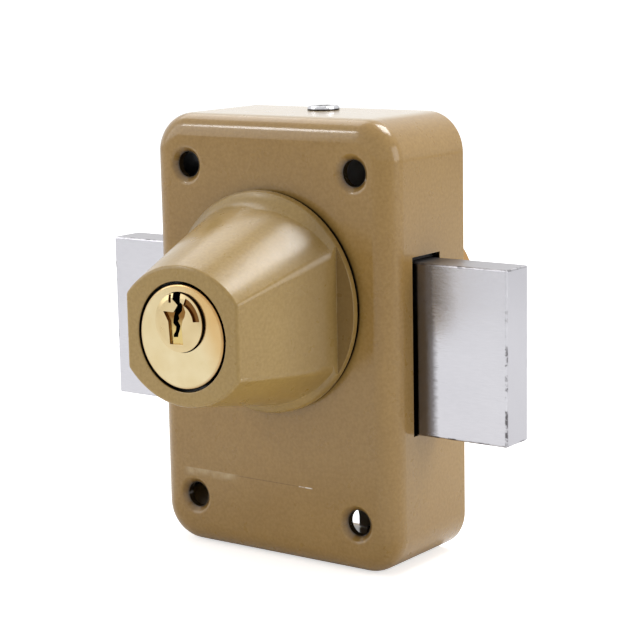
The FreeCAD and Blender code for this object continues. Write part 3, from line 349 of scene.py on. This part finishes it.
def case_paint():
    """Case enamel with painted light on its top face, a scratch, and painted shade in its dishes, bores and inside
    and under the knob's flange.
    """
    s = Shader("case_paint")
    x = s.mm("X")
    y = s.mm("Y")
    z = s.mm("Z")
    front = s.fall(y, CASE_FRONT_Y + 0.2, CASE_FRONT_Y + 0.6)
    body = enamel(s, CASE_LIGHT, CASE_DARK, CASE_GLOSS)
    # Painted light: the top face is lightened, as the light from above falls on it
    body = s.over(body, s.rise(z, CASE_TOP_Z - 0.5, CASE_TOP_Z - 0.02), TOP_FACE_LIGHT, share=0.5)
    body = scratched(s, body, x, z, front)
    # The four fixing holes: painted shade in their dishes, and near-black painted shade in their bores
    across = s.maths("SUBTRACT", s.maths("ABSOLUTE", x), HOLE_X)
    beyond = s.maths("SUBTRACT", s.distance(z, HOLE_MIDDLE_Z), HOLE_Z)
    from_hole = s.length(across, beyond)
    dish = s.product(s.fall(from_hole, HOLE_R + 0.3, HOLE_R + 1.7),
                     s.rise(y, CASE_FRONT_Y + 0.05, CASE_FRONT_Y + 0.9))
    bore = s.product(s.fall(from_hole, HOLE_R + 0.1, HOLE_R + 0.35),
                     s.rise(y, CASE_FRONT_Y + 0.8, CASE_FRONT_Y + 1.3))
    body = s.over(body, dish, DISH_SHADE, share=0.5)
    body = s.over(body, bore, BORE_SHADE, share=0.85)
    # Painted shade: the shell is near black inside, so the bolt's slots look black; its rear rim keeps the enamel
    shaded_inside = s.product(s.fall(s.maths("ABSOLUTE", x), CASE_HALF_X - 0.3, CASE_HALF_X - 0.1),
                       s.between(y, (CASE_FRONT_Y + 5.1, CASE_FRONT_Y + 5.5), (-0.5, -0.1)),
                       s.fall(beyond, 1.0, 2.0))
    # Painted shade on the case's front under the knob's flange
    shade_under_flange = s.product(s.fall(s.radius(SPINDLE_Z), FLANGE_R - 0.5, FLANGE_R - 0.1), front)
    s.give(Base_Color=s.over(body, s.highest(shaded_inside, shade_under_flange), SHADOW))
    return s.material


KNOB_GLOSS = {"Coat Weight": 0.55, "Coat Roughness": 0.18, "Specular IOR Level": 0.35}

# Painted shade darkens the knob's two flats, which lie this far from its axis, towards the flange
FLATS_X = (12.0, 17.0)
FLATS_Y = (-50.0, -35.0)


def knob_paint():
    """Knob enamel, with painted shade in the mouth round the cylinder, on its back, on the ledge and on the flats
    beside the flange.
    """
    s = Shader("knob_paint")
    y = s.mm("Y")
    body = enamel(s, KNOB_LIGHT, KNOB_DARK, KNOB_GLOSS)
    # Painted shade on the flat ledge of the flange beside the grip
    ledge = s.product(s.rise(y, FLANGE_FRONT_Y - 0.15, FLANGE_FRONT_Y - 0.02),
                      s.rise(s.facing("Y"), 0.97, 0.995))
    body = s.over(body, ledge, LEDGE_SHADE, share=0.4)
    flats = s.product(s.rise(s.maths("ABSOLUTE", s.mm("X")), *FLATS_X), s.rise(y, *FLATS_Y))
    body = s.over(body, flats, FLAT_SHADE, share=0.42)
    # Painted shade in the gap round the cylinder and on the back by the case
    mouth = s.product(s.fall(s.radius(0.0), CYLINDER_R + 0.7, CYLINDER_R + 0.9),
                      s.rise(y, KNOB_FACE_Y + 0.15, KNOB_FACE_Y + 0.35))
    back = s.rise(y, KNOB_BACK_Y - 0.3, KNOB_BACK_Y - 0.05)
    s.give(Base_Color=s.over(body, s.highest(mouth, back), SHADOW))
    return s.material


# Painted reflection: the bolt's right half is darkened beside the case, where it mirrors the case's side, and
# further out in its upper part
CASE_REFLECTION_START_X = (20.0, 21.0)
CASE_REFLECTION_SHARP_X = (37.9, 39.4)
CASE_REFLECTION_SOFT_X = (37.5, 44.5)
CASE_REFLECTION_UPPER_Z = (-3.0, 5.0)
CHIP_WIDTH = (0.35, 0.6)


def bolt_inset(s, axis):
    """How far a point lies inside the bar's two faces across one axis."""
    middle = middle_mm("bolt", axis)
    return s.maths("SUBTRACT", high_mm("bolt", axis) - middle, s.distance(s.mm(axis), middle))


def bolt_edges(s):
    """1 along the twelve edges of the bar, where a point is close to two faces at once."""
    first = bolt_inset(s, "X")
    second = bolt_inset(s, "Y")
    low = s.maths("MINIMUM", first, second)
    high = s.maths("MAXIMUM", first, second)
    return s.fall(s.maths("MAXIMUM", low, s.maths("MINIMUM", high, bolt_inset(s, "Z"))), *CHIP_WIDTH)


def bolt_steel():
    """Ground bar: fine streaks along its length, a duller top, a painted reflection of the case, painted shade on
    its end faces and chipped edges.
    """
    s = Shader("bolt_steel")
    x = s.mm("X")
    z = s.mm("Z")
    streaks = s.noise(scale=1.0, detail=5.0, roughness=0.7, stretch=(420.0, 4200.0, 4200.0))
    fine = s.noise(scale=1.0, detail=3.0, roughness=0.6, stretch=(2200.0, 9000.0, 9000.0))
    cloud = s.ramp(s.noise(scale=60.0, detail=3.0), 0.0, 0.35)
    tone = s.maths("ADD", s.ramp(streaks, 0.0, 0.5), cloud)
    ground = s.mix(tone, STEEL_LIGHT, STEEL_DARK)
    top = s.rise(z, BOLT_TOP_Z - 0.45, BOLT_TOP_Z - 0.1)
    ground = s.over(ground, top, STEEL_TOP, share=0.45)
    # The painted reflection's border is ragged, as the streaks are
    upper = s.rise(z, *CASE_REFLECTION_UPPER_Z)
    sharp = s.fall(s.maths("ADD", x, s.ramp(streaks, -0.7, 0.7)), *CASE_REFLECTION_SHARP_X)
    soft = s.ramp(s.maths("ADD", x, s.ramp(streaks, -1.6, 1.6)), 0.9, 0.0, *CASE_REFLECTION_SOFT_X)
    reflected_case = s.product(s.highest(sharp, s.product(soft, upper)), s.rise(x, *CASE_REFLECTION_START_X))
    # Painted reflection of the case's dark side wall
    ground = s.over(ground, reflected_case, CASE_REFLECTION, share=0.74)
    # Chips and burrs lie in patches along the edges, and all along the front of the top
    front_top = s.product(top, s.ramp(s.mm("Y"), 0.8, 0.0, BOLT_FRONT_Y + 0.7, BOLT_FRONT_Y + 1.7))
    patches = s.ramp(s.noise(scale=75.0, detail=2.0), 0.12, 1.0, 0.44, 0.58)
    edge = s.product(bolt_edges(s), s.highest(patches, front_top))
    burrs = s.noise(scale=330.0, detail=6.0, roughness=0.65)
    ground = s.over(ground, s.product(edge, s.rise(burrs, 0.51, 0.6)), CHIP_DARK, share=0.85)
    ground = s.over(ground, s.product(edge, s.fall(burrs, 0.34, 0.46)), CHIP_BRIGHT, share=0.6)
    # Painted shade darkens the bar's two end faces
    ground = s.over(ground, s.fall(bolt_inset(s, "X"), 0.02, 0.1), END_FACE_SHADE, share=0.3)
    dull = s.maths("ADD", s.product(top, 0.2), s.product(upper, 0.1))
    coarse = s.bump(streaks, strength=0.35, distance=0.00005)
    s.give(Metallic=1.0, Base_Color=ground, Roughness=s.maths("ADD", s.ramp(fine, 0.07, 0.14), dull),
           Normal=s.bump(fine, strength=0.3, distance=0.00002, under=coarse))
    return s.material


def turned_brass(s, light, dark, roughness):
    patches = s.noise(scale=160.0, detail=4.0)
    s.give(Metallic=1.0, Roughness=s.ramp(patches, roughness - 0.03, roughness + 0.05),
           Normal=s.bump(s.noise(scale=2400.0, detail=3.0), strength=0.05, distance=0.00003))
    return s.mix(s.ramp(patches, 0.0, 1.0), light, dark)


def depth_below(s, y, front_face_y, back_face_y):
    """Depth below the nearer of two end faces."""
    return s.maths("MINIMUM", s.maths("SUBTRACT", y, front_face_y), s.maths("SUBTRACT", back_face_y, y))


# A painted reflection tone covers the upper right of the cylinder's face, from this sum of X and part of Z
REFLECTION_TONE_START = (3.0, 10.0)


def brass_body():
    """Cylinder bodies: bright, with a painted reflection tone at the upper right and painted shade in the gap
    round the plug and inside the knob.
    """
    s = Shader("brass_body")
    y = s.mm("Y")
    body = turned_brass(s, BODY_BRASS_LIGHT, BODY_BRASS_DARK, 0.2)
    upper_right = s.maths("ADD", s.mm("X"), s.product(s.mm("Z"), 0.7))
    reflected_tone = s.product(s.rise(upper_right, *REFLECTION_TONE_START), s.ramp(s.noise(scale=90.0, detail=2.0), 0.6, 1.0))
    body = s.over(body, reflected_tone, BRASS_REFLECTION_TONE, share=0.75)
    body = s.over(body, s.rise(s.radius(0.0), CYLINDER_R - 0.7, CYLINDER_R - 0.05), BRASS_RIM, share=0.6)
    depth = depth_below(s, y, KNOB_FACE_Y, CYLINDER_END_Y)
    # Painted shade in the gap round the plug and inside the knob
    gap = s.product(s.fall(s.radius(SPINDLE_Z), PLUG_R + 0.25, PLUG_R + 0.35), s.rise(depth, 0.05, 0.2))
    in_knob = s.product(s.rise(depth, 0.45, 0.7), s.fall(y, KNOB_BACK_Y - 0.55, KNOB_BACK_Y + 0.45))
    s.give(Base_Color=s.over(body, s.highest(gap, in_knob), SHADOW))
    return s.material


def brass_plug():
    """Plugs: bright face and recess floor, with painted shade on the recess walls, in the keyway as it deepens and
    on the plug's side wall.
    """
    s = Shader("brass_plug")
    radius = s.radius(SPINDLE_Z)
    depth = depth_below(s, s.mm("Y"), INNER_PLUG_FACE_Y, OUTER_PLUG_FACE_Y)
    # The face falls away towards its rounded rim, which is no wall
    rounded = s.product(s.highest(s.maths("SUBTRACT", radius, PLUG_RIM_R), 0.0), 0.27)
    body = turned_brass(s, PLUG_BRASS_LIGHT, PLUG_BRASS_DARK, 0.24)
    wall = s.product(s.rise(s.maths("SUBTRACT", depth, rounded), 0.02, 0.08),
                     s.fall(depth, RECESS_DEPTH, RECESS_DEPTH + 0.04))
    # Painted shade on the recess walls
    body = s.over(body, wall, RECESS_WALL_SHADE)
    shade = s.rise(s.mm("Z"), SPINDLE_Z - 1.75, SPINDLE_Z + 1.25)
    floor = s.mix(shade, RECESS_FLOOR, RECESS_SHADE)
    body = s.over(body, s.rise(depth, RECESS_DEPTH, RECESS_DEPTH + 0.04), floor)
    # Painted shade: the keyway goes black with depth, and so does the plug's side wall
    keyway = s.rise(depth, RECESS_DEPTH + 0.08, RECESS_DEPTH + 0.14)
    side = s.product(s.rise(radius, PLUG_R - 0.09, PLUG_R - 0.03), s.rise(depth, 0.45, 0.52))
    s.give(Base_Color=s.over(body, s.highest(keyway, side), SHADOW))
    return s.material


def brass_pins():
    s = Shader("brass_pins")
    s.give(Base_Color=turned_brass(s, PIN_BRASS_LIGHT, PIN_BRASS_DARK, 0.25))
    return s.material


def plain_metal(name, colour, roughness):
    s = Shader(name)
    dark = tuple(level * 0.8 for level in colour[:3]) + (1.0,)
    patches = s.noise(scale=240.0, detail=5.0)
    s.give(Metallic=1.0, Base_Color=s.mix(s.ramp(patches, 0.0, 1.0), colour, dark),
           Roughness=s.ramp(patches, roughness - 0.05, roughness + 0.06),
           Normal=s.bump(s.noise(scale=2600.0, detail=3.0), strength=0.06, distance=0.00004))
    return s.material


def case_screw_metal():
    """Bright pan head, with painted shade in its cross recess and where it meets the case."""
    s = Shader("screw_chrome")
    z = s.mm("Z")
    patches = s.noise(scale=700.0, detail=4.0)
    bright = s.mix(s.ramp(patches, 0.0, 1.0), CHROME_LIGHT, CHROME_DARK)
    radius = s.length(s.mm("X"), s.maths("SUBTRACT", s.mm("Y"), SCREW_Y))
    recess = s.product(s.fall(radius, CROSS_RECESS_R, CROSS_RECESS_R + 0.1),
                       s.fall(z, SCREW_TOP_Z - 0.14, SCREW_TOP_Z - 0.06))
    foot = s.fall(z, SCREW_TOP_Z - 0.75, SCREW_TOP_Z - 0.55)
    # Painted shade in the cross recess and at the foot of the head
    s.give(Metallic=1.0, Base_Color=s.over(bright, s.highest(recess, foot), SCREW_SHADE),
           Roughness=s.ramp(patches, 0.08, 0.2),
           Normal=s.bump(s.noise(scale=1100.0, detail=2.0), strength=0.6, distance=0.00015))
    return s.material


def nylon():
    s = Shader("guide_nylon")
    grain = s.noise(scale=2500.0, detail=3.0)
    s.give(Base_Color=s.mix(grain, NYLON_DARK, NYLON_LIGHT),
           Roughness=s.ramp(grain, 0.5, 0.65), Normal=s.bump(grain, strength=0.15, distance=0.00008))
    return s.material


SLOT_MATERIALS = {
    "case_paint": case_paint(),
    "knob_paint": knob_paint(),
    "bolt_steel": bolt_steel(),
    "plate_steel": plain_metal("plate_steel", srgb(190, 190, 192), 0.38),
    "screw_chrome": case_screw_metal(),
    "screw_steel": plain_metal("screw_steel", srgb(185, 185, 188), 0.3),
    "bush_steel": plain_metal("bush_steel", srgb(170, 168, 165), 0.3),
    "spindle_steel": plain_metal("spindle_steel", srgb(175, 175, 178), 0.3),
    "spring_steel": plain_metal("spring_steel", srgb(120, 120, 126), 0.3),
    "guide_nylon": nylon(),
    "brass_body": brass_body(),
    "brass_plug": brass_plug(),
    "brass_pins": brass_pins(),
}


def dress_cad_nodes():
    slots = {row["node"]: row["material_slot"] for row in record["subparts"]}
    for name, piece in frame["nodes"].items():
        piece.data.materials.clear()
        piece.data.materials.append(SLOT_MATERIALS[slots[name]])


dress_cad_nodes()

# Coil springs, in place of the plain sleeves of the CAD model; lengths in millimetres

ALONG_Y = (0.0, 1.0, 0.0)
ALONG_Z = (0.0, 0.0, 1.0)
PIN_COUNT = 5
PIN_PITCH = 3.3
PIN_WIRE_R = 0.2
PIN_TURNS = 5
CLUTCH_WIRE_R = 0.3
CLUTCH_TURNS = 4
CLUTCH_SPRING_R = 1.85
COIL_STEPS = 20
WIRE_SIDES = 8
END_TURNS_CLOSER = 0.25


def coil_rings(foot, axis, length, outer, wire, turns):
    """Rings of points along one coil whose end turns lie closer together; wire is the wire's radius."""
    axis = Vector(axis)
    across = Vector((1.0, 0.0, 0.0))
    upright = axis.cross(across)
    steps = turns * COIL_STEPS
    rings = []
    for step in range(steps + 1):
        share = step / steps
        turn = 2 * math.pi * turns * share
        risen = share - END_TURNS_CLOSER * math.sin(2 * math.pi * share) / (2 * math.pi)
        outward = across * math.cos(turn) + upright * math.sin(turn)
        middle = Vector(foot) + axis * (wire + (length - 2 * wire) * risen) + outward * (outer - wire)
        ring = []
        for side in range(WIRE_SIDES):
            angle = 2 * math.pi * side / WIRE_SIDES
            ring.append(middle + (outward * math.cos(angle) + axis * math.sin(angle)) * wire)
        rings.append(ring)
    return rings


def tube_faces(start, ring_count):
    """Faces of a closed tube whose first point has the number start."""
    faces = []
    for row in range(ring_count - 1):
        for side in range(WIRE_SIDES):
            here = start + row * WIRE_SIDES + side
            beside = start + row * WIRE_SIDES + (side + 1) % WIRE_SIDES
            faces.append((here, here + WIRE_SIDES, beside + WIRE_SIDES, beside))
    last = start + (ring_count - 1) * WIRE_SIDES
    faces.append(tuple(start + side for side in range(WIRE_SIDES)))
    faces.append(tuple(last + side for side in reversed(range(WIRE_SIDES))))
    return faces


def add_coils(name, node, body, feet, axis, length, outer, wire, turns):
    """One piece with a coil on each foot, attached to a body in place of the CAD node, which is hidden."""
    points = []
    faces = []
    for foot in feet:
        rings = coil_rings(foot, axis, length, outer, wire, turns)
        faces.extend(tube_faces(len(points), len(rings)))
        for ring in rings:
            points.extend(point * MM for point in ring)
    mesh = bpy.data.meshes.new(name)
    mesh.from_pydata(points, [], faces)
    mesh.polygons.foreach_set("use_smooth", [True] * len(faces))
    mesh.materials.append(SLOT_MATERIALS["spring_steel"])
    piece = bpy.data.objects.new(name, mesh)
    scene.collection.objects.link(piece)
    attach(piece, body)
    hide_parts(node)
    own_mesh(piece)


def add_pin_springs(side, body):
    node = side + "_pin_springs"
    foot_z = low_mm(node, "Z")
    first_y = middle_mm(node, "Y") - PIN_PITCH * (PIN_COUNT - 1) / 2
    feet = [(0.0, first_y + PIN_PITCH * index, foot_z) for index in range(PIN_COUNT)]
    add_coils(side + "_pin_coils", node, body, feet, ALONG_Z,
              high_mm(node, "Z") - foot_z, high_mm(node, "X"), PIN_WIRE_R, PIN_TURNS)


def add_clutch_spring():
    node = "clutch_spring"
    foot_y = low_mm(node, "Y")
    add_coils("clutch_coil", node, "outer_plug_body", [(0.0, foot_y, SPINDLE_Z)], ALONG_Y,
              high_mm(node, "Y") - foot_y, CLUTCH_SPRING_R, CLUTCH_WIRE_R, CLUTCH_TURNS)


add_pin_springs("inner", "knob_body")
add_pin_springs("outer", "case_body")
add_clutch_spring()

# Studio, in metres

CENTRE = (0.0, -0.02, -0.006)
WORLD_STRENGTH = 0.5
FLOOR_HALF = 12.0
FLOOR_GAP = 0.0002
FLOOR_LIFT = 0.62

# Each lamp: name, place, size and watts
LAMPS = (
    ("top", (0.15, 0.34, 0.75), (0.42, 0.35), 4.4),
    ("right", (0.85, 0.15, 0.25), (0.5, 0.5), 1.8),
    ("front", (-0.75, -0.62, 0.36), (0.6, 0.6), 1.5),
    ("key", (-0.58, -0.52, 0.64), (0.14, 0.14), 0.8),
    ("left_top", (-0.46, 0.19, 0.62), (0.4, 0.4), 0.8),
)


def add_camera():
    yaw = math.radians(YAW_DEG)
    pitch = math.radians(PITCH_DEG)
    roll = math.radians(ROLL_DEG)
    back = Vector((math.sin(yaw) * math.cos(pitch), -math.cos(yaw) * math.cos(pitch), math.sin(pitch)))
    right = (-back).cross(Vector(ALONG_Z)).normalized()
    up = right.cross(-back)
    turned_right = right * math.cos(roll) + up * math.sin(roll)
    turned_up = up * math.cos(roll) - right * math.sin(roll)
    place = (Vector(TARGET_MM) + back * DISTANCE_MM) * MM
    turn = Matrix((turned_right, turned_up, back)).transposed().to_4x4()
    camera = bpy.data.objects.new("camera", bpy.data.cameras.new("camera"))
    camera.matrix_world = Matrix.Translation(place) @ turn
    camera.data.sensor_width = SENSOR_MM
    camera.data.lens = FOCAL_PX * SENSOR_MM / IMAGE_PX
    camera.data.clip_start = CLIP_START
    scene.collection.objects.link(camera)
    scene.camera = camera


def add_lamp(name, place, size, watts):
    data = bpy.data.lights.new(name, "AREA")
    data.shape = "RECTANGLE"
    data.size, data.size_y = size
    data.energy = watts
    lamp = bpy.data.objects.new(name, data)
    lamp.location = place
    lamp.rotation_euler = (Vector(CENTRE) - Vector(place)).to_track_quat("-Z", "Y").to_euler()
    scene.collection.objects.link(lamp)


def add_floor():
    """Pale floor; for the camera it is lifted to white, and it keeps the object's shadow."""
    s = Shader("floor")
    seen = s.add("ShaderNodeLightPath").outputs["Is Camera Ray"]
    s.give(Base_Color=FLOOR_COLOUR, Roughness=0.9, Specular_IOR_Level=0.1,
           Emission_Color=WHITE, Emission_Strength=s.product(seen, FLOOR_LIFT))
    mesh = bpy.data.meshes.new("floor")
    z = cad_low[2] - FLOOR_GAP
    corners = [(x * FLOOR_HALF, y * FLOOR_HALF, z) for x, y in ((-1, -1), (1, -1), (1, 1), (-1, 1))]
    mesh.from_pydata(corners, [], [(0, 1, 2, 3)])
    mesh.materials.append(s.material)
    floor = bpy.data.objects.new("floor", mesh)
    scene.collection.objects.link(floor)


def add_world():
    """White where the camera, gloss or glass sees it, and softer as a light."""
    world = bpy.data.worlds.new("studio")
    world.use_nodes = True
    world.node_tree.nodes.clear()
    w = Nodes(world.node_tree)
    path = w.add("ShaderNodeLightPath").outputs
    seen = w.highest(path["Is Camera Ray"], path["Is Glossy Ray"], path["Is Transmission Ray"])
    shown = w.add("ShaderNodeBackground", {"Color": WHITE, "Strength": 1.0}).outputs[0]
    soft = w.add("ShaderNodeBackground", {"Color": WHITE, "Strength": WORLD_STRENGTH}).outputs[0]
    chosen = w.add("ShaderNodeMixShader", {0: seen, 1: soft, 2: shown}).outputs[0]
    w.add("ShaderNodeOutputWorld", {"Surface": chosen})
    scene.world = world


add_camera()
add_floor()
add_world()
for lamp_row in LAMPS:
    add_lamp(*lamp_row)
scene.view_settings.view_transform = "Standard"
